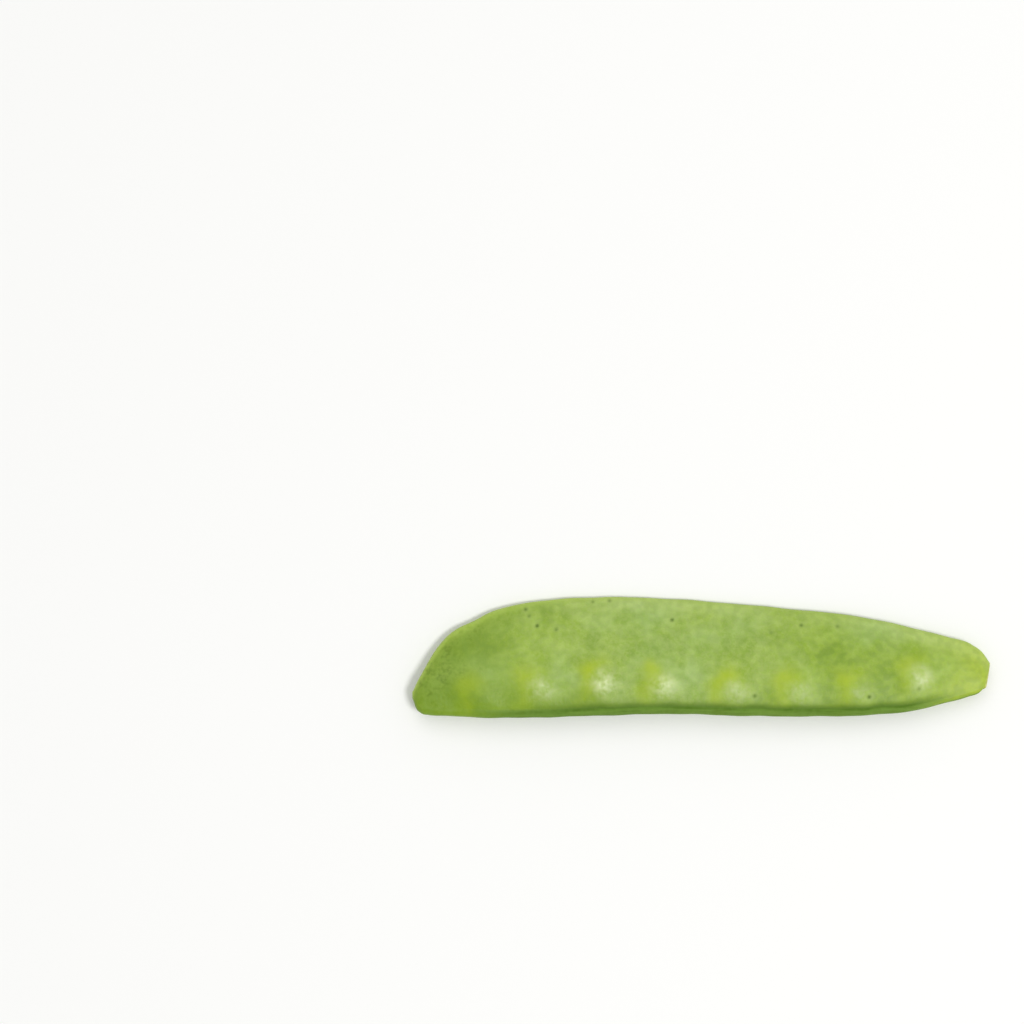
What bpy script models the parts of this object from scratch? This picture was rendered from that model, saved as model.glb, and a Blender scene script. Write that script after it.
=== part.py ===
"""A snow pea pod as picked, lying on its side: one solid, two flat valves grown over eight small seeds.

The pod is first drawn flat, in millimetres: x runs from the blossom tip to the stem end, y from
the straight seed-bearing (ventral) suture to the arched (dorsal) suture, and z is its thickness.
Then it is rolled onto the lower valve, the way it comes to rest, and made metres.
"""

import bmesh
import bpy
import numpy as np
from mathutils import Euler

MM = 0.001

# Driving dimensions, in millimetres
POD_LENGTH = 90.0
POD_WIDTH = 18.9
HALF_THICKNESS = 2.05  # of the two closed valves where they are fattest, between the seeds
PRESS = 0.15  # how far the soft skin flattens where it rests

# How the pod lies: on the lower valve's swellings and the valve's broad back part
ROLL_DEG = -9.5
PITCH_DEG = 0.1

# Ribs across the pod, from the tip to the stem end: where each meets the dorsal and the
# ventral suture, as shares of the pod's length and width
RIBS = (
    ((0.000, 0.222), (0.000, 0.150)),
    ((0.005, 0.276), (0.004, 0.095)),
    ((0.018, 0.392), (0.013, 0.042)),
    ((0.035, 0.535), (0.028, 0.022)),
    ((0.060, 0.680), (0.052, 0.010)),
    ((0.105, 0.812), (0.088, 0.000)),
    ((0.165, 0.920), (0.150, -0.010)),
    ((0.250, 0.980), (0.240, -0.005)),
    ((0.350, 1.000), (0.350, 0.010)),
    ((0.450, 0.985), (0.450, 0.020)),
    ((0.560, 0.945), (0.560, 0.005)),
    ((0.670, 0.895), (0.670, 0.000)),
    ((0.785, 0.830), (0.780, 0.010)),
    ((0.870, 0.740), (0.860, 0.045)),
    ((0.930, 0.668), (0.920, 0.110)),
    ((0.970, 0.605), (0.960, 0.165)),
    ((0.992, 0.520), (0.981, 0.201)),
    ((1.000, 0.460), (0.987, 0.230)),
)

# Seeds: shares of the length and the width, and how far each valve swells over it
SEEDS = (
    (0.113, 0.200, 0.40),
    (0.213, 0.275, 0.70),
    (0.320, 0.318, 0.95),
    (0.425, 0.298, 0.85),
    (0.549, 0.250, 0.75),
    (0.658, 0.238, 0.75),
    (0.764, 0.250, 0.60),
    (0.868, 0.360, 0.85),
)
SEED_REACH = (3.1, 3.5)  # of a swelling, along and across the pod

VALVE_LEAN = 0.85  # under 1 puts the fattest part nearer the ventral suture
TIP_ROUNDING = 1.2  # over this length the tip closes like a nose
TIP_END = 0.50  # share of the thickness left at the very tip

# The ventral suture is a rail with a groove along it, set off from the valve by a crease.
RAIL = (0.6, 0.42, 0.15)  # distance in from the edge, spread and height
CREASE = (1.15, 0.35, -0.17)
GROOVE = 0.30
DORSAL_RIDGE = (0.5, 0.4, 0.15)

# The pod isn't quite flat
BOW = 0.8  # how far the ends bend down
TWIST = 0.30  # height of the slow wave along the dorsal edge
TWIST_WAVES = 1.1

# Mesh
STATIONS = 88
END_CROWDING = 0.6  # share by which stations crowd towards the two ends
RING = 44  # points round each section, an even number
SHARP_DEG = 50  # edges sharper than this, at the broken stem end, stay crisp

SKIN_GREEN = (0.32, 0.46, 0.10, 1.0)


def curve_through(knots, values, at):
    """A cubic through the values, whose slope at each is that of the parabola through its neighbours."""
    slopes = np.gradient(values, knots, axis=0)
    i = np.clip(np.searchsorted(knots, at) - 1, 0, len(knots) - 2)
    step = (knots[i + 1] - knots[i])[:, None]
    f = (at - knots[i])[:, None] / step
    rise = values[i + 1] - values[i]
    leave = slopes[i] * step - rise
    arrive = rise - slopes[i + 1] * step
    return values[i] + f * rise + f * (1 - f) * ((1 - f) * leave + f * arrive)


def sutures(stations):
    """The dorsal and the ventral edge at each station, which is a share of the way along the spine."""
    ribs = np.array(RIBS) * (POD_LENGTH, POD_WIDTH)
    spine = ribs.mean(axis=1)
    steps = np.linalg.norm(np.diff(spine, axis=0), axis=1)
    knots = np.concatenate([[0.0], np.cumsum(steps)]) / steps.sum()
    dorsal = curve_through(knots, ribs[:, 0], stations)
    ventral = curve_through(knots, ribs[:, 1], stations)
    return dorsal, ventral


def bead(distance, place):
    """A rounded ridge, or a crease where its height is negative, along a line that far in from an edge."""
    middle, spread, height = place
    return height * np.exp(-(((distance - middle) / spread) ** 2))


def seed_swelling(x, y):
    """How far a valve stands out over the seeds: a bell over each."""
    swelling = np.zeros_like(x)
    for along, across, height in SEEDS:
        dx = (x - along * POD_LENGTH) / SEED_REACH[0]
        dy = (y - across * POD_WIDTH) / SEED_REACH[1]
        swelling += height * np.exp(-(dx**2 + dy**2))
    return swelling


def middle_surface(x, y):
    """Height of the surface midway between the valves: bent down at both ends, with a wavy dorsal edge."""
    along = x / POD_LENGTH
    wave = np.sin(2 * np.pi * (TWIST_WAVES * along + 0.15))
    return -BOW * (2 * along - 1) ** 2 + TWIST * wave * y / POD_WIDTH


def pod_points(stations, ring_angles):
    """Points of the skin by station along the pod and angle round its section, lying flat.

    Angle 0 is the ventral suture, 180 degrees the dorsal one, and the upper valve comes first.
    Across a section, each valve's height is the square root of a sine arch that leans
    towards the ventral suture, plus the suture's beads and the swellings over the seeds.
    """
    dorsal, ventral = sutures(stations)
    chord = dorsal - ventral
    width = np.linalg.norm(chord, axis=1)[:, None]
    across = (1 - np.cos(ring_angles)) / 2
    side = np.sign(np.round(np.sin(ring_angles), 6))

    arch = np.sqrt(np.abs(np.sin(np.pi * across**VALVE_LEAN)))
    fullness = np.sqrt(width / POD_WIDTH)
    nose = np.clip(stations[:, None] * POD_LENGTH / TIP_ROUNDING, 0, 1)
    closing = TIP_END + (1 - TIP_END) * np.sqrt(1 - (1 - nose) ** 2)
    from_ventral = across * width
    from_dorsal = (1 - across) * width
    beads = bead(from_ventral, RAIL) + bead(from_ventral, CREASE) + bead(from_dorsal, DORSAL_RIDGE)

    groove = np.where(across == 0, GROOVE, 0.0) / width
    flat = ventral[:, None] + (across + groove)[..., None] * chord[:, None]
    x, y = flat[..., 0], flat[..., 1]
    edge_fade = np.minimum(1, arch * 1.6)
    height = fullness * (HALF_THICKNESS * arch + edge_fade * beads) + edge_fade * seed_swelling(x, y)
    z = middle_surface(x, y) + side * closing * height
    return np.stack([x, y, z], axis=-1)


def lay_down(points):
    """The pod rolled and pitched as it rests, flattened where it is pressed, and centred on the origin."""
    turn = Euler((np.radians(ROLL_DEG), np.radians(PITCH_DEG), 0)).to_matrix()
    laid = points @ np.array(turn).T
    height = laid[..., 2] - laid[..., 2].min()
    laid[..., 2] = np.maximum(height - PRESS, 0)
    corners = laid.reshape(-1, 3)
    laid[..., :2] -= (corners.min(axis=0) + corners.max(axis=0))[:2] / 2
    return laid


def skin_faces(bm, rings):
    """Quads between neighbouring rings, and a ladder of quads from valve to valve across both ends."""
    for ring, following in zip(rings, rings[1:]):
        for k in range(RING):
            after = (k + 1) % RING
            bm.faces.new((ring[k], following[k], following[after], ring[after]))

    for end in (rings[0], rings[-1]):
        bm.faces.new((end[0], end[1], end[-1]))
        for k in range(1, RING // 2 - 1):
            bm.faces.new((end[k], end[k + 1], end[-k - 1], end[-k]))
        bm.faces.new((end[RING // 2 - 1], end[RING // 2], end[RING // 2 + 1]))


def pea_skin():
    """The pod's waxy green skin."""
    material = bpy.data.materials.new("pea_pod_skin")
    material.use_nodes = True
    shader = material.node_tree.nodes["Principled BSDF"]
    shader.inputs["Base Color"].default_value = SKIN_GREEN
    shader.inputs["Roughness"].default_value = 0.45
    shader.inputs["Metallic"].default_value = 0.0
    return material


def make_pod():
    """The whole pod as one closed mesh object."""
    even = np.linspace(0, 1, STATIONS)
    stations = even - END_CROWDING * np.sin(2 * np.pi * even) / (2 * np.pi)
    ring_angles = np.arange(RING) * 2 * np.pi / RING
    points = lay_down(pod_points(stations, ring_angles)) * MM

    bm = bmesh.new()
    rings = [[bm.verts.new(point) for point in ring] for ring in points]
    skin_faces(bm, rings)
    bmesh.ops.recalc_face_normals(bm, faces=bm.faces)
    mesh = bpy.data.meshes.new("pod")
    bm.to_mesh(mesh)
    bm.free()

    mesh.shade_smooth()
    mesh.set_sharp_from_angle(angle=np.radians(SHARP_DEG))
    mesh.materials.append(pea_skin())
    pod = bpy.data.objects.new("pod", mesh)
    bpy.context.scene.collection.objects.link(pod)
    return pod


def main():
    for left_over in list(bpy.data.objects):
        bpy.data.objects.remove(left_over)
    make_pod()


main()
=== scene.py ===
"""A snow pea pod lying on its side, dressed around its CAD solid.

The pod's skin is one fine surface, drawn flat and then laid down as the solid lies. Lengths
on the pod are in millimetres until the last step, which fits it to the solid's box in metres.
"""

import math

import bpy
import numpy as np
from mathutils import Euler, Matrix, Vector


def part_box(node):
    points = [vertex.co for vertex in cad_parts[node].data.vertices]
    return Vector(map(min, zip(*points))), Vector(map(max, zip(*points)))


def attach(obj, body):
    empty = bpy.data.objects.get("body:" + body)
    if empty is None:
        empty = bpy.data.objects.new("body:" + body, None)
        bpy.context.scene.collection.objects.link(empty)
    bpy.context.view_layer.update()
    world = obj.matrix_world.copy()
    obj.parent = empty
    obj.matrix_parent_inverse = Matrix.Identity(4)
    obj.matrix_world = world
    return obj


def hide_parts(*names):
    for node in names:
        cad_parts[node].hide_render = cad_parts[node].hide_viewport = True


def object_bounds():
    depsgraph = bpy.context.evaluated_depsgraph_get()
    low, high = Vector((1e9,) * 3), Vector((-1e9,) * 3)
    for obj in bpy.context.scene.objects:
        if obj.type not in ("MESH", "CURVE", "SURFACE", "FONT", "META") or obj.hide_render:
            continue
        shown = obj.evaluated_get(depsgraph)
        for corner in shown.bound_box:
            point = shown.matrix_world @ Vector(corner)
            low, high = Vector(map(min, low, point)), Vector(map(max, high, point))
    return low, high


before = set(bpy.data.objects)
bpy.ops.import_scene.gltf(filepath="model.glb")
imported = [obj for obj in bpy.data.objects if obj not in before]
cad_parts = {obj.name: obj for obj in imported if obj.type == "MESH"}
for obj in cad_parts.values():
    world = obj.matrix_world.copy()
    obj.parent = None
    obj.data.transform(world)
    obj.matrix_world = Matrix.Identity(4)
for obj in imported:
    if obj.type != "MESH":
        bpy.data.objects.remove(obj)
cad_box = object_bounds()

MM = 0.001

# The pod, drawn flat: x from the blossom tip to the stem end, y from the straight
# seed-bearing (ventral) suture to the arched (dorsal) suture
POD_LENGTH = 90.0
POD_WIDTH = 18.9
HALF_THICKNESS = 2.05  # of the two closed valves where they are fattest, between the seeds
VALVE_LEAN = 0.85  # under 1 puts the fattest part nearer the ventral suture
ROLL_DEG, PITCH_DEG = -9.5, 0.1
PRESS = 0.15  # how far the soft skin flattens where it rests

# Ribs from the tip to the stem end: where each meets the dorsal and the ventral suture,
# as shares of the pod's length and width
RIBS = (
    ((0.000, 0.222), (0.000, 0.150)),
    ((0.005, 0.276), (0.004, 0.095)),
    ((0.018, 0.392), (0.013, 0.042)),
    ((0.035, 0.535), (0.028, 0.022)),
    ((0.060, 0.680), (0.052, 0.010)),
    ((0.105, 0.812), (0.088, 0.000)),
    ((0.165, 0.920), (0.150, -0.010)),
    ((0.250, 0.980), (0.240, -0.005)),
    ((0.350, 1.000), (0.350, 0.010)),
    ((0.450, 0.985), (0.450, 0.020)),
    ((0.560, 0.945), (0.560, 0.005)),
    ((0.670, 0.895), (0.670, 0.000)),
    ((0.785, 0.830), (0.780, 0.010)),
    ((0.870, 0.740), (0.860, 0.045)),
    ((0.930, 0.668), (0.920, 0.110)),
    ((0.970, 0.605), (0.960, 0.165)),
    ((0.992, 0.520), (0.981, 0.201)),
    ((1.000, 0.460), (0.987, 0.230)),
)

# Slight wander of the two edges, which sets in a little way from the tip. Every wave is its
# height, its rates along and across the pod, in radians, and its phase. The rates are for the
# whole length here, and for each millimetre below, unless a comment says otherwise
WANDER_RISES = (0.02, 0.08)
DORSAL_WANDER = ((0.03, 54.0, 0.0, 0.0), (0.02, 91.0, 0.0, 1.0))
VENTRAL_WANDER = ((0.03, 61.0, 0.0, 2.0), (0.02, 117.0, 0.0, 0.0))
DORSAL_DIP = (9.6, 1.7, -0.16)  # middle along the pod, spread and height

# Seeds: shares of the length and the width, how far each valve swells over it, how yellow the
# skin is there, and how glossy it is there, which is also the strength of its painted highlight
SEEDS = (
    (0.113, 0.200, 0.40, 0.50, 0.0),
    (0.213, 0.275, 0.70, 0.60, 0.6),
    (0.320, 0.318, 0.95, 0.90, 1.0),
    (0.425, 0.298, 0.85, 0.85, 0.9),
    (0.549, 0.250, 0.75, 0.85, 0.4),
    (0.658, 0.238, 0.75, 0.75, 0.3),
    (0.764, 0.250, 0.60, 0.75, 0.2),
    (0.868, 0.360, 0.85, 0.60, 0.8),
)
SEED_REACH = (3.1, 3.5)
# Marks of each seed on the skin: their reach, and how far they lie from it
SEED_BLUSH = (1.9, 1.6), (-1.0, 1.2)
SEED_FLANK = (1.2, 2.6), (-2.1, -1.7)
FLANK_SHARE = 0.6  # strength of the flank beside the blush
# The shine is a painted highlight: a pale spot on each seed, where the lamp's highlight falls
SEED_SHINE = (1.9, 1.8), (0.7, -0.9)
SHINE_POWER = 1.3  # over 1 makes a bell's top flatter and its sides steeper

# Beads and creases beside the sutures: distance in from the edge, spread and height
RAIL = (0.6, 0.42, 0.15)
CREASE = (1.15, 0.35, -0.17)
DORSAL_RIDGE = (0.5, 0.4, 0.15)
EDGE_FADE = 1.6  # how soon in from an edge the beads and swellings have their full height
# The crease shows between these shares of the length, and elsewhere keeps a little of its depth
CREASE_RISES, CREASE_FALLS = (0.16, 0.34), (0.84, 0.97)
CREASE_LEAST = 0.2
# The groove between the rails: height off the middle, spread and how far the points draw in
GROOVE = (0.0, 0.35, 0.28)
GROOVE_RISES = (0.03, 0.10)

TIP_ROUNDING, TIP_END = 1.2, 0.50  # length over which the tip closes, and share of thickness left
BOW = 0.8  # how far the ends bend down
TWIST, TWIST_WAVES, TWIST_START = 0.30, 1.1, 0.15  # slow wave along the dorsal edge

# Soft unevenness of the valves; the phases are those of the underside, and 0 on the upper valve
VALVE_WAVES = (
    (0.035, 0.57, 0.31, 2.1),
    (0.025, 0.93, -0.55, 4.2),
    (0.018, 1.45, 0.80, 2.1),
    (0.014, 0.40, 1.50, -2.1),
)

# Small pits where the skin was pricked: shares of the length and the width, and strength
PITS = (
    (0.195, 0.888, 0.80),
    (0.201, 0.829, 0.56),
    (0.215, 0.746, 1.12),
    (0.248, 0.713, 0.64),
    (0.312, 0.954, 0.64),
    (0.341, 0.963, 0.64),
    (0.449, 0.796, 1.04),
    (0.620, 0.688, 0.48),
    (0.673, 0.754, 0.88),
    (0.736, 0.746, 0.56),
    (0.589, 0.163, 0.80),
    (0.786, 0.154, 0.96),
    (0.872, 0.221, 0.48),
)
PIT_DEPTH, PIT_REACH = 0.075, 0.28
STAIN_REACH = 0.30  # of the dark in a pit
HALO_REACH, HALO_STRENGTH = 0.70, 1.125  # of the pale ring round it

# Where the wax is thick and pale, and where the skin is painted a deeper green, partly its own
# darker patches and partly painted shade: shares of the length and the width, and strength
BLOOM = (
    (0.130, 0.360, 0.5),
    (0.262, 0.330, 0.6),
    (0.330, 0.800, 0.4),
    (0.410, 0.820, 0.9),
    (0.415, 0.420, 0.8),
    (0.480, 0.300, 0.8),
    (0.500, 0.620, 0.5),
    (0.570, 0.760, 0.6),
    (0.660, 0.330, 0.3),
    (0.800, 0.700, 0.7),
    (0.920, 0.420, 0.6),
)
BLOOM_REACH = (3.6, 2.6)
DEEP_AND_SHADE = (
    (0.064, 0.190, 1.0),
    (0.108, 0.150, 1.0),
    (0.082, 0.540, 1.0),
    (0.132, 0.570, 0.8),
    (0.235, 0.860, 0.5),
    (0.640, 0.600, 0.4),
    (0.718, 0.540, 0.9),
    (0.800, 0.500, 0.5),
    (0.852, 0.490, 0.4),
    # These lie on the seeds' flanks, right of their highlights: painted shade
    (0.290, 0.140, 0.7),
    (0.595, 0.130, 0.8),
    (0.722, 0.150, 0.9),
    (0.735, 0.420, 0.8),
    (0.818, 0.170, 0.9),
    (0.812, 0.340, 0.6),
)
DEEP_REACH = (2.8, 2.0)
# Slow waves that push those marks out of true
PUSH_ALONG = ((0.50, 0.5, 0.9, 0.0), (0.12, -1.3, 2.2, 0.0))
PUSH_ACROSS = ((0.45, 0.9, -0.4, 0.0), (0.12, 2.0, 1.6, 0.0))

# Zones of the skin. RISES and FALLS are the start and end of a ramp, in shares of the length;
# lines, depths, widths and reaches are in mm in from an edge.
# The darker band along the ventral edge, partly its own darker green and partly painted shade
# where it faces down, and its thinner end towards the stem
BAND_RISES, BAND_FALLS, BAND_DEPTH = (0.08, 0.22), (0.84, 0.97), (0.95, 1.35)
STEM_BAND, STEM_BAND_RISES, STEM_BAND_DEPTH = 0.7, (0.86, 0.93), (0.10, 0.50)
# The painted shade in the crease, a dark line: its middle, its widths towards the valve and the edge, its
# wander
SHADE_LINE, SHADE_WIDTHS, SHADE_WANDER = 1.05, (0.72, 0.42), ((0.07, 0.95, 0.0, 1.0),)
SEAM_WIDTH = 0.22  # of the paler seam in the groove
# The bright rim of the dorsal edge, partly the suture's paler skin and partly painted light,
# wider by the extra at the tip, and weaker past the falls
RIM_WIDTH, RIM_EXTRA, RIM_NARROWS = 0.55, 0.75, (0.06, 0.28)
RIM_FADE, RIM_FALLS = 0.6, (0.25, 0.50)
# The pale waxy margin beside it; its wave's rate is for the whole length
MARGIN_LINE, MARGIN_WIDTH, MARGIN_RISES = 1.1, 1.4, (0.16, 0.28)
MARGIN_STRENGTH, MARGIN_WAVE = 0.72, ((0.38, 14.0, 0.0, -4.45),)
# The stretches where the wax is thin and the green is purer
THIN_WAX_RISES, THIN_WAX_FALLS, THIN_WAX_RETURNS = (0.04, 0.12), (0.16, 0.32), (0.60, 0.75)
# The purer green along the seeds, weaker past the falls
KEEL_REACH, KEEL_FADE, KEEL_FALLS = 4.6, 0.55, (0.22, 0.40)
# The dark tip, which runs on by the longer share near the ventral edge
TIP_DARK_FALLS, TIP_DARK_LONGER, TIP_DARK_REACH = (0.06, 0.22), 0.30, 3.2
STEM_RISES = (0.86, 1.0)  # of the yellower stem end

# Mesh
STATIONS = 500
END_CROWDING = 0.5
RING = 188  # points round each section, an even number
CAP_RINGS = 7  # steps from a cap's rounded edge to its middle
TIP_FACES, TIP_CAP = (-1.0, 0.0, 0.0), 0.06  # which way the end faces, and its edge's rounding
STEM_FACES, STEM_CAP, STEM_HOLLOW = (0.97, -0.25, 0.0), 0.20, 0.30
CAP_STEPS = 4  # of the quarter round at a cap's edge
CAP_INSET = 0.75  # the most that the quarter round draws in, as a share
CAP_RIPPLE, CAP_LOBES, CAP_SWIRL = 0.05, 5, 9.0  # height of an end's ripple, and its turns
LEAST_WIDTH = 1e-6  # what a ring's width counts as where it has none

# Skin patterns: size in mm along x, y and z, detail, and the noise values that count as 0 and 1.
# The cells of such skin are under 0.1 mm, so cells and grit are drawn coarser, to show at all
SKIN_PATTERNS = (
    ("drift", (11.0, 9.0, 11.0), 1.0, 0.35, 0.65),
    ("patch", (2.6, 2.4, 2.6), 1.0, 0.38, 0.62),
    ("mottle", (1.1, 1.1, 1.1), 1.0, 0.38, 0.62),
    ("cells", (0.55, 0.55, 0.55), 1.0, 0.38, 0.62),
    ("grit", (0.28, 0.28, 0.28), 1.0, 0.40, 0.60),
    ("streak", (0.50, 3.5, 3.5), 1.0, 0.35, 0.65),
    ("fibre", (6.0, 0.55, 0.55), 1.0, 0.38, 0.62),
)
# Colours of the skin, laid over each other in this order: tint, strength, and where it shows,
# which is the product of the masks and patterns named
LEAF_GREEN = "#88A634"
SKIN_LAYERS = (
    ("#9AB63C", 0.60, "drift"),
    ("#B4CA6E", 0.31, "patch"),
    ("#BCCE74", 0.27, "cells"),
    ("#506E06", 0.82, "tip"),
    ("#90B028", 0.36, "tip", "patch"),
    ("#98B638", 0.54, "tip", "mottle"),
    ("#A0BC48", 0.34, "tip", "cells"),
    ("#769600", 0.62, "keel"),
    ("#B2C438", 0.78, "stem"),
    ("#92B400", 0.20, "thin_wax"),
    ("#CADC8C", 0.37, "margin"),
    ("#9EBE72", 0.40, "bloom"),
    ("#B4CA84", 0.30, "bloom", "patch"),
    # Deeper green, partly the skin's own and partly painted shade on the seeds' flanks
    ("#769600", 0.48, "deep_and_shade"),
    ("#6A8C00", 0.36, "deep_and_shade", "mottle"),
    ("#64842A", 0.23, "mottle"),
    ("#A8BE00", 0.84, "seed"),
    # Painted highlights over the seeds
    ("#BCCC78", 0.25, "highlight_crest"),
    ("#E0EAB0", 0.35, "highlight_crest", "patch"),
    ("#E4EEB4", 0.35, "highlight_crest", "mottle"),
    # The dorsal rim, partly paler skin and partly painted light
    ("#B0CA50", 0.72, "rim"),
    ("#B8D068", 0.30, "rim", "mottle"),
    # The ventral band, partly its own darker green and partly painted shade
    ("#4E7210", 0.80, "band"),
    # Painted shade in the crease
    ("#486C00", 0.84, "crease"),
    ("#7CA03C", 0.32, "band", "fibre"),
    ("#7CA03C", 0.15, "band", "mottle"),
    ("#8CA448", 0.50, "seam"),
    ("#B4CC70", 0.30, "halo"),
    ("#446200", 0.95, "pit"),
    ("#C8CC6C", 0.90, "scar"),
    ("#9A9E40", 0.55, "scar", "cells"),
)
# Relief of the skin in mm and its roughness: sums of strengths, each times the product of the
# masks and patterns named after it
SKIN_RELIEF = (
    (0.024, "patch"),
    (0.012, "mottle"),
    (0.006, "cells"),
    (0.004, "grit"),
    (0.006, "streak"),
    (0.040, "highlight_crest", "patch"),
    (0.016, "highlight_crest", "mottle"),
    (0.020, "band", "fibre"),
    (0.050, "scar", "cells"),
)
ROUGHNESS = 0.48
SKIN_ROUGHNESS = (
    (-0.13, "highlight_crest"),
    (0.22, "band"),
    (0.20, "crease"),
    (0.30, "pit"),
)
WAX_IOR = 1.45
# Light that goes a little way into the flesh: its share, and how far red, green and blue go in mm
FLESH_SHARE, FLESH_DEPTH = 0.15, (0.48, 0.80, 0.20)

# Camera, in degrees and metres, and its lens in millimetres
CAMERA_ELEVATION = 87.0
CAMERA_DISTANCE = 0.376
CAMERA_NEAR, CAMERA_FAR = 0.01, 10.0
LENS, SENSOR = 85, 36
POD_RIGHT, POD_BELOW = 29.5, 22.6  # of the middle of the frame, in millimetres at the pod

FLOOR_SIZE = 3.0  # metres along a side
FLOOR_WHITE, FLOOR_ROUGHNESS = "#F8F8F6", 0.9
# Lamps: name, azimuth from +X, elevation, distance, size in metres, and power in watts
LAMPS = (
    ("window", 110, 60, 1.5, 1.2, 4.4),
    ("front", -30, 66, 1.2, 0.36, 6.6),
)
SURROUND = 0.50  # strength of the white light from all round


# ---------------------------------------------------------------- shape


def curve_through(knots, values, at):
    """A cubic through the values, whose slope at each is that of the parabola through its neighbours."""
    slopes = np.gradient(values, knots, axis=0)
    i = np.clip(np.searchsorted(knots, at) - 1, 0, len(knots) - 2)
    step = (knots[i + 1] - knots[i])[:, None]
    f = (at - knots[i])[:, None] / step
    rise = values[i + 1] - values[i]
    leave = slopes[i] * step - rise
    arrive = rise - slopes[i + 1] * step
    return values[i] + f * rise + f * (1 - f) * ((1 - f) * leave + f * arrive)


def ramp(value, start, end):
    """0 up to start, 1 from end, and an S-shaped cubic between them."""
    f = np.clip((value - start) / (end - start), 0, 1)
    return f * f * (3 - 2 * f)


def bell(distance, middle, spread):
    """1 at the middle: e to the minus square of the distance from it, counted in spreads."""
    return np.exp(-(((distance - middle) / spread) ** 2))


def bead(distance, place):
    """A bell-shaped ridge along a line that far in from an edge, or a crease where its height is negative."""
    middle, spread, height = place
    return height * bell(distance, middle, spread)


def bells(x, y, places, reach, shift=(0.0, 0.0), power=1.0):
    """Sum of bells of the given reach in mm over places on the pod, each as high as its own third value."""
    total = np.zeros_like(x)
    for along, across, height in places:
        dx = (x - along * POD_LENGTH - shift[0]) / reach[0]
        dy = (y - across * POD_WIDTH - shift[1]) / reach[1]
        total += height * np.exp(-((dx**2 + dy**2) ** power))
    return total


def waves(x, y, terms, phase_share=1.0):
    """Sum of sines: height times the sine of the rates times x and y plus the share of the phase."""
    return sum(
        height * np.sin(along * x + across * y + phase_share * phase)
        for height, along, across, phase in terms
    )


def between(along, rises, falls):
    """1 in the stretch between two ramps along the pod, and 0 before and after them."""
    return ramp(along, *rises) * (1 - ramp(along, *falls))


def sutures(stations):
    """The dorsal and the ventral edge at each station, a cubic through the ribs' ends, with a slight wander.

    The wander is two sines along each edge, and a shallow bell-shaped dip in the dorsal one.
    """
    ribs = np.array(RIBS) * (POD_LENGTH, POD_WIDTH)
    spine = ribs.mean(axis=1)
    steps = np.linalg.norm(np.diff(spine, axis=0), axis=1)
    knots = np.concatenate([[0.0], np.cumsum(steps)]) / steps.sum()
    dorsal = curve_through(knots, ribs[:, 0], stations)
    ventral = curve_through(knots, ribs[:, 1], stations)
    wander_shows = ramp(stations, *WANDER_RISES)
    dorsal[:, 1] += wander_shows * waves(stations, 0.0, DORSAL_WANDER) + bead(dorsal[:, 0], DORSAL_DIP)
    ventral[:, 1] += wander_shows * waves(stations, 0.0, VENTRAL_WANDER)
    return dorsal, ventral


def middle_surface(x, y):
    """Height of the surface midway between the valves.

    It is a parabola bent down at both ends, plus a sine along the pod that grows towards the
    dorsal edge.
    """
    along = x / POD_LENGTH
    wave = np.sin(2 * np.pi * (TWIST_WAVES * along + TWIST_START))
    return -BOW * (2 * along - 1) ** 2 + TWIST * wave * y / POD_WIDTH


def pod_skin(stations, ring_angles):
    """Points of the skin by station along the pod and angle round its section, lying flat.

    Angle 0 is the ventral suture, 180 degrees the dorsal one, and the upper valve comes first.
    Across a section, each valve's height is the square root of a sine arch that leans
    towards the ventral suture, plus the sutures' beads, the swellings over the seeds, the
    soft waves and the pits. Near the ventral suture the points draw in by a bell of their
    height, which leaves a groove between two rails. Where each point lies on the pod comes
    with them, for the paint.
    """
    dorsal, ventral = sutures(stations)
    chord = dorsal - ventral
    width = np.linalg.norm(chord, axis=1)[:, None]
    across = (1 - np.cos(ring_angles)) / 2 * np.ones_like(width)
    side = np.sign(np.round(np.sin(ring_angles), 6)) * np.ones_like(width)
    along = stations[:, None] * np.ones_like(across)
    upper = np.where(side >= 0, 1.0, 0.0)

    arch = np.sqrt(np.abs(np.sin(np.pi * across**VALVE_LEAN)))
    fullness = np.sqrt(width / POD_WIDTH)
    nose = np.clip(along * POD_LENGTH / TIP_ROUNDING, 0, 1)
    closing = TIP_END + (1 - TIP_END) * np.sqrt(1 - (1 - nose) ** 2)
    from_ventral = across * width
    from_dorsal = (1 - across) * width
    crease_share = CREASE_LEAST + (1 - CREASE_LEAST) * between(along, CREASE_RISES, CREASE_FALLS)
    beads = bead(from_ventral, RAIL) + crease_share * bead(from_ventral, CREASE)
    beads += bead(from_dorsal, DORSAL_RIDGE)

    edge_fade = np.minimum(1, arch * EDGE_FADE)
    flat = ventral[:, None] + across[..., None] * chord[:, None]
    x, y = flat[..., 0], flat[..., 1]
    relief = bells(x, y, np.array(SEEDS)[:, :3], SEED_REACH)
    relief += waves(x, y, VALVE_WAVES, phase_share=np.where(side > 0, 0.0, 1.0))
    relief -= upper * PIT_DEPTH * bells(x, y, PITS, (PIT_REACH, PIT_REACH))
    height = closing * (fullness * (HALF_THICKNESS * arch + edge_fade * beads) + edge_fade * relief)

    near_ventral = across < 0.5
    draw_in = np.where(near_ventral, bead(height, GROOVE) * ramp(along, *GROOVE_RISES), 0.0)
    flat = flat + (draw_in / width)[..., None] * chord[:, None]
    z = middle_surface(x, y) + side * height
    points = np.concatenate([flat, z[..., None]], axis=-1)
    where = {
        "x": x,
        "y": y,
        "along": along,
        "from_ventral": from_ventral,
        "from_dorsal": from_dorsal,
        "off_seam": np.where(near_ventral, height, np.inf),
        "upper": upper,
    }
    return points, where


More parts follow.
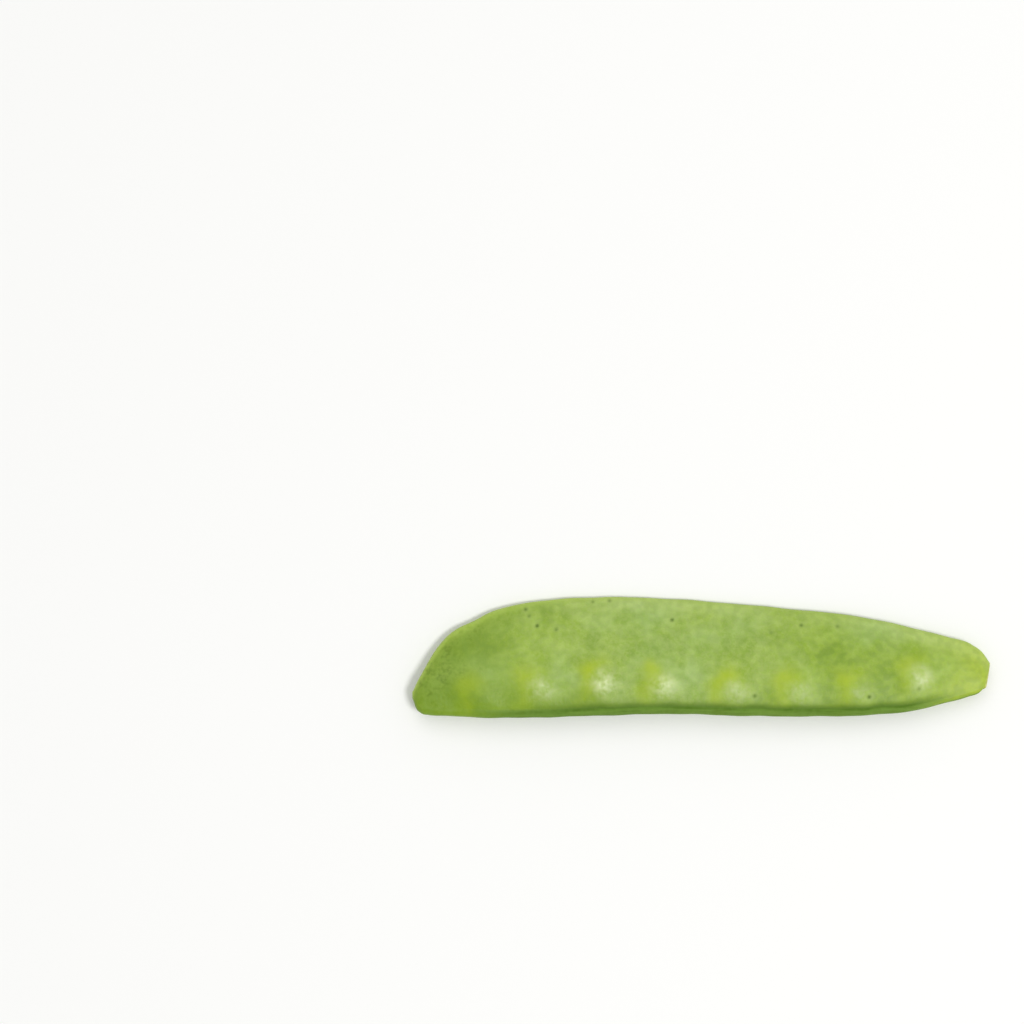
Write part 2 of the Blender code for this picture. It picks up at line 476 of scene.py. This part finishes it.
def skin_paint(x, y, along, from_ventral, from_dorsal, off_seam, upper):
    """How much of each of the skin's own colours is at each point, from 0 to 1.

    Spots are sums of bells over their places, pushed out of true by slow waves. Zones are
    ramps along the pod, times a bell of the distance in from an edge where they follow one.
    """
    seeds = np.array(SEEDS)
    yellow, gloss_and_highlight = seeds[:, [0, 1, 3]], seeds[:, [0, 1, 4]]
    u = x + waves(x, y, PUSH_ALONG)
    v = y + waves(x, y, PUSH_ACROSS)
    band = between(along, BAND_RISES, BAND_FALLS) * (1 - ramp(from_ventral, *BAND_DEPTH))
    stem_band = ramp(along, *STEM_BAND_RISES) * (1 - ramp(from_ventral, *STEM_BAND_DEPTH))
    off_line = from_ventral - SHADE_LINE - waves(x, y, SHADE_WANDER)
    shade = bell(off_line, 0.0, np.where(off_line > 0, *SHADE_WIDTHS))
    rim_width = RIM_WIDTH + RIM_EXTRA * (1 - ramp(along, *RIM_NARROWS))
    margin_strength = MARGIN_STRENGTH + waves(along, 0.0, MARGIN_WAVE)
    dark_starts, dark_ends = TIP_DARK_FALLS
    dark_ends = dark_ends + TIP_DARK_LONGER * bell(from_ventral, 0.0, TIP_DARK_REACH)
    paint = {
        "seed": bells(u, v, yellow, *SEED_BLUSH) + FLANK_SHARE * bells(u, v, yellow, *SEED_FLANK),
        # A painted highlight over each seed, which also makes the skin glossier there
        "highlight_crest": bells(x, y, gloss_and_highlight, *SEED_SHINE, SHINE_POWER),
        "bloom": bells(u, v, BLOOM, BLOOM_REACH),
        # Deeper green, partly the skin's own and partly painted shade on the seeds' flanks
        "deep_and_shade": bells(u, v, DEEP_AND_SHADE, DEEP_REACH),
        # The darker ventral band, partly painted shade
        "band": np.maximum(band, STEM_BAND * stem_band),
        # Painted shade in the crease along the ventral band
        "crease": between(along, CREASE_RISES, CREASE_FALLS) * shade,
        "seam": bell(off_seam, 0.0, SEAM_WIDTH),
        # The dorsal edge's pale rim, partly painted light
        "rim": bell(from_dorsal, 0.0, rim_width) * (1 - RIM_FADE * ramp(along, *RIM_FALLS)),
        "margin": margin_strength * bell(from_dorsal, MARGIN_LINE, MARGIN_WIDTH) * ramp(along, *MARGIN_RISES),
        "thin_wax": between(along, THIN_WAX_RISES, THIN_WAX_FALLS) + ramp(along, *THIN_WAX_RETURNS),
        "keel": bell(from_ventral, 0.0, KEEL_REACH) * (1 - KEEL_FADE * ramp(along, *KEEL_FALLS)),
        "tip": 1 - ramp(along, dark_starts, dark_ends),
        "stem": ramp(along, *STEM_RISES),
        "scar": np.zeros_like(x),
        "pit": upper * bells(x, y, PITS, (STAIN_REACH, STAIN_REACH)),
        "halo": upper * HALO_STRENGTH * bells(x, y, PITS, (HALO_REACH, HALO_REACH)),
    }
    return {name: np.clip(values, 0, 1) for name, values in paint.items()}


def end_cap(ring, outward, rounding, dimple):
    """Rings that close an end, and the point in its middle: a quarter round, then ever smaller copies.

    The copies sink by a parabola, which leaves a shallow hollow, and ripple by a sine that
    swirls round the end times one that is 0 at its edge and its middle.
    """
    centre = ring.mean(axis=0)
    arm = ring - centre
    reach = np.maximum(np.abs(arm).max(axis=0), LEAST_WIDTH)
    turn = np.linspace(0, np.pi / 2, CAP_STEPS + 1)[1:, None, None]
    inset = np.minimum(rounding * (1 - np.cos(turn)) / reach, CAP_INSET)
    rounded = centre + arm * (1 - inset) + outward * rounding * np.sin(turn)

    face = rounded[-1] - outward * rounding - centre
    share = np.linspace(1, 0, CAP_RINGS + 1)[1:-1, None, None]
    bearing = np.arange(len(ring))[:, None] * 2 * np.pi / len(ring)
    ripple = CAP_RIPPLE * np.sin(CAP_LOBES * bearing + CAP_SWIRL * share) * np.sin(np.pi * share)
    sink = dimple * (1 - share**2) + ripple
    filled = centre + face * share + outward * (rounding - sink)
    middle = centre + outward * (rounding - dimple)
    return np.concatenate([rounded, filled]), middle


def lay_down(points):
    """The points rolled and pitched as the pod rests, and flattened where it is pressed."""
    turn = Euler((math.radians(ROLL_DEG), math.radians(PITCH_DEG), 0)).to_matrix()
    laid = points @ np.array(turn).T
    laid[:, 2] = np.maximum(laid[:, 2] - laid[:, 2].min() - PRESS, 0)
    return laid


def fit_to_box(points, low, high):
    """The points carried, each axis by its own straight scale, from the box they fill to the given one."""
    own_low, own_high = points.min(axis=0), points.max(axis=0)
    return low + (points - own_low) / (own_high - own_low) * (high - low)


def skin_faces(rings):
    """Quads between neighbouring rings, and a fan of triangles from the middle of each end.

    Points are numbered ring by ring, then the tip's middle point and the stem end's.
    """
    index = np.arange(rings * RING).reshape(rings, RING)
    after = np.roll(index, -1, axis=1)
    quads = np.stack([index[:-1], index[1:], after[1:], after[:-1]], axis=-1).reshape(-1, 4)
    tip, stem = np.full(RING, index.size), np.full(RING, index.size + 1)
    tip_fan = np.stack([tip, index[0], after[0]], axis=-1)
    stem_fan = np.stack([index[-1], stem, after[-1]], axis=-1)
    return quads.tolist() + tip_fan.tolist() + stem_fan.tolist()


def make_pod():
    """The whole pod as one closed surface, with its paint as attributes, and the paint's names."""
    even = np.linspace(0, 1, STATIONS)
    stations = even - END_CROWDING * np.sin(2 * np.pi * even) / (2 * np.pi)
    ring_angles = np.arange(RING) * 2 * np.pi / RING
    skin, where = pod_skin(stations, ring_angles)
    paint = skin_paint(**where)

    tip_rings, tip_middle = end_cap(skin[0], np.array(TIP_FACES), TIP_CAP, 0.0)
    stem_rings, stem_middle = end_cap(skin[-1], np.array(STEM_FACES), STEM_CAP, STEM_HOLLOW)
    rings = np.concatenate([tip_rings[::-1], skin, stem_rings])
    points = np.concatenate([rings.reshape(-1, 3), [tip_middle, stem_middle]])
    low, high = (np.array(corner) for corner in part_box("pod"))
    placed = fit_to_box(lay_down(points), low, high)

    mesh = bpy.data.meshes.new("snow_pea_pod")
    mesh.from_pydata(placed.tolist(), [], skin_faces(len(rings)))
    for name, values in paint.items():
        tip_values = np.repeat(values[:1], len(tip_rings), axis=0)
        stem_values = np.repeat(values[-1:], len(stem_rings), axis=0)
        if name == "scar":
            stem_values = np.ones_like(stem_values)
        by_ring = np.concatenate([tip_values, values, stem_values])
        by_point = np.concatenate([by_ring.ravel(), [by_ring[0].mean(), by_ring[-1].mean()]])
        mesh.attributes.new(name, "FLOAT", "POINT").data.foreach_set("value", by_point)
    mesh.shade_smooth()
    pod = bpy.data.objects.new("snow_pea_pod", mesh)
    bpy.context.scene.collection.objects.link(pod)
    return pod, list(paint)


# ---------------------------------------------------------------- finishes


def linear(hex_colour):
    """An sRGB hex colour as the linear colour that a shader takes."""
    parts = np.array([int(hex_colour[i : i + 2], 16) for i in (1, 3, 5)]) / 255
    low, high = parts / 12.92, ((parts + 0.055) / 1.055) ** 2.4
    return (*np.where(parts <= 0.04045, low, high), 1.0)


def add(tree, kind, values=(), links=(), **settings):
    """One shader node with its settings, its inputs' values and the sockets linked to its inputs."""
    node = tree.nodes.new("ShaderNode" + kind)
    for name, setting in settings.items():
        setattr(node, name, setting)
    for name, value in dict(values).items():
        node.inputs[name].default_value = value
    for name, source in dict(links).items():
        tree.links.new(source, node.inputs[name])
    return node


def pea_pod_skin(paint_names):
    """Snow pea skin: living epidermis grown under a thin natural wax.

    The wax gives the eye a matte, slightly milky green with broad soft highlights, brightest
    over the seeds, where pale highlights are also painted into the colour. The green is uneven
    at about 10, 2.5, 1 and 0.5 mm, yellower over the seeds and at the stem end, darker at the
    tip and along the ventral band, where fibres about 6 mm long run; the band's dark is partly
    painted shade, and there is painted shade in its crease and on the seeds' flanks. It is paler
    along the dorsal edge, partly by painted light.
    """
    material = bpy.data.materials.new("pea_pod_skin")
    material.use_nodes = True
    tree = material.node_tree
    shader = tree.nodes["Principled BSDF"]
    place = add(tree, "TexCoord").outputs["Object"]

    patterns = {}
    for name, size, detail, darkest, lightest in SKIN_PATTERNS:
        scale = [1 / (length * MM) for length in size]
        scaled = add(tree, "Mapping", {"Scale": scale}, {"Vector": place})
        noise = add(tree, "TexNoise", {"Scale": 1.0, "Detail": detail}, {"Vector": scaled.outputs[0]})
        spread = add(
            tree, "MapRange", {"From Min": darkest, "From Max": lightest}, {"Value": noise.outputs[0]}
        )
        patterns[name] = spread.outputs[0]
    for name in paint_names:
        patterns[name] = add(tree, "Attribute", attribute_name=name).outputs["Fac"]

    def where_shown(strength, names):
        """The strength times the product of the masks and patterns named."""
        share = add(tree, "Math", {1: strength}, {0: patterns[names[0]]}, operation="MULTIPLY")
        for name in names[1:]:
            share = add(tree, "Math", links={0: share.outputs[0], 1: patterns[name]}, operation="MULTIPLY")
        return share.outputs[0]

    colour = add(tree, "RGB")
    colour.outputs[0].default_value = linear(LEAF_GREEN)
    colour = colour.outputs[0]
    for tint, strength, *names in SKIN_LAYERS:
        links = {0: where_shown(strength, names), 6: colour}
        colour = add(tree, "Mix", {7: linear(tint)}, links, data_type="RGBA", clamp_factor=True).outputs[2]

    def sum_of(start, terms):
        """The start value plus each term's strength where its masks and patterns show it."""
        total = add(tree, "Value")
        total.outputs[0].default_value = start
        for strength, *names in terms:
            links = {0: total.outputs[0], 1: where_shown(strength, names)}
            total = add(tree, "Math", links=links, operation="ADD")
        return total.outputs[0]

    bump = add(tree, "Bump", {"Distance": MM}, {"Height": sum_of(0.0, SKIN_RELIEF)})

    tree.links.new(colour, shader.inputs["Base Color"])
    tree.links.new(sum_of(ROUGHNESS, SKIN_ROUGHNESS), shader.inputs["Roughness"])
    tree.links.new(bump.outputs[0], shader.inputs["Normal"])
    shader.inputs["IOR"].default_value = WAX_IOR
    shader.inputs["Subsurface Weight"].default_value = FLESH_SHARE
    shader.inputs["Subsurface Radius"].default_value = FLESH_DEPTH
    shader.inputs["Subsurface Scale"].default_value = MM
    return material


def white_card():
    """White card, pressed and uncoated, which gives the eye an even matte pale surface."""
    material = bpy.data.materials.new("white_card")
    material.use_nodes = True
    shader = material.node_tree.nodes["Principled BSDF"]
    shader.inputs["Base Color"].default_value = linear(FLOOR_WHITE)
    shader.inputs["Roughness"].default_value = FLOOR_ROUGHNESS
    return material


# ---------------------------------------------------------------- stage


def make_camera():
    """A long lens looking down on the pod, which lies low and to the right in the frame."""
    centre = (cad_box[0] + cad_box[1]) / 2
    tilt = math.radians(CAMERA_ELEVATION)
    back = Vector((0, -math.cos(tilt), math.sin(tilt)))
    up = Vector((0, math.sin(tilt), math.cos(tilt)))
    aim = centre - Vector((1, 0, 0)) * POD_RIGHT * MM + up * POD_BELOW * MM
    lens = bpy.data.cameras.new("camera")
    lens.lens = LENS
    lens.sensor_width = SENSOR
    lens.clip_start, lens.clip_end = CAMERA_NEAR, CAMERA_FAR
    camera = bpy.data.objects.new("camera", lens)
    camera.location = aim + back * CAMERA_DISTANCE
    camera.rotation_euler = (-back).to_track_quat("-Z", "Y").to_euler()
    bpy.context.scene.collection.objects.link(camera)
    bpy.context.scene.camera = camera


def make_floor():
    """A square of card, flat, under the pod."""
    half = FLOOR_SIZE / 2
    corners = [(-half, -half, 0), (half, -half, 0), (half, half, 0), (-half, half, 0)]
    mesh = bpy.data.meshes.new("floor")
    mesh.from_pydata(corners, [], [(0, 1, 2, 3)])
    mesh.materials.append(white_card())
    floor = bpy.data.objects.new("floor", mesh)
    bpy.context.scene.collection.objects.link(floor)


def make_lights():
    """Panels of soft white light, each aimed at the pod, and an even white surround."""
    target = (cad_box[0] + cad_box[1]) / 2
    for name, azimuth, elevation, distance, size, power in LAMPS:
        a, e = math.radians(azimuth), math.radians(elevation)
        away = Vector((math.cos(a) * math.cos(e), math.sin(a) * math.cos(e), math.sin(e)))
        lamp = bpy.data.lights.new(name, "AREA")
        lamp.shape = "DISK"
        lamp.size = size
        lamp.energy = power
        panel = bpy.data.objects.new(name, lamp)
        panel.location = target + away * distance
        panel.rotation_euler = (-away).to_track_quat("-Z", "Y").to_euler()
        bpy.context.scene.collection.objects.link(panel)

    world = bpy.data.worlds.new("surround")
    world.use_nodes = True
    surround = world.node_tree.nodes["Background"]
    surround.inputs["Color"].default_value = (1, 1, 1, 1)
    surround.inputs["Strength"].default_value = SURROUND
    bpy.context.scene.world = world


# ---------------------------------------------------------------- the scene

make_camera()
make_floor()
make_lights()
pod, paint_names = make_pod()
pod.data.materials.append(pea_pod_skin(paint_names))
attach(pod, "root")
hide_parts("pod")

bpy.context.scene.view_settings.view_transform = "Standard"
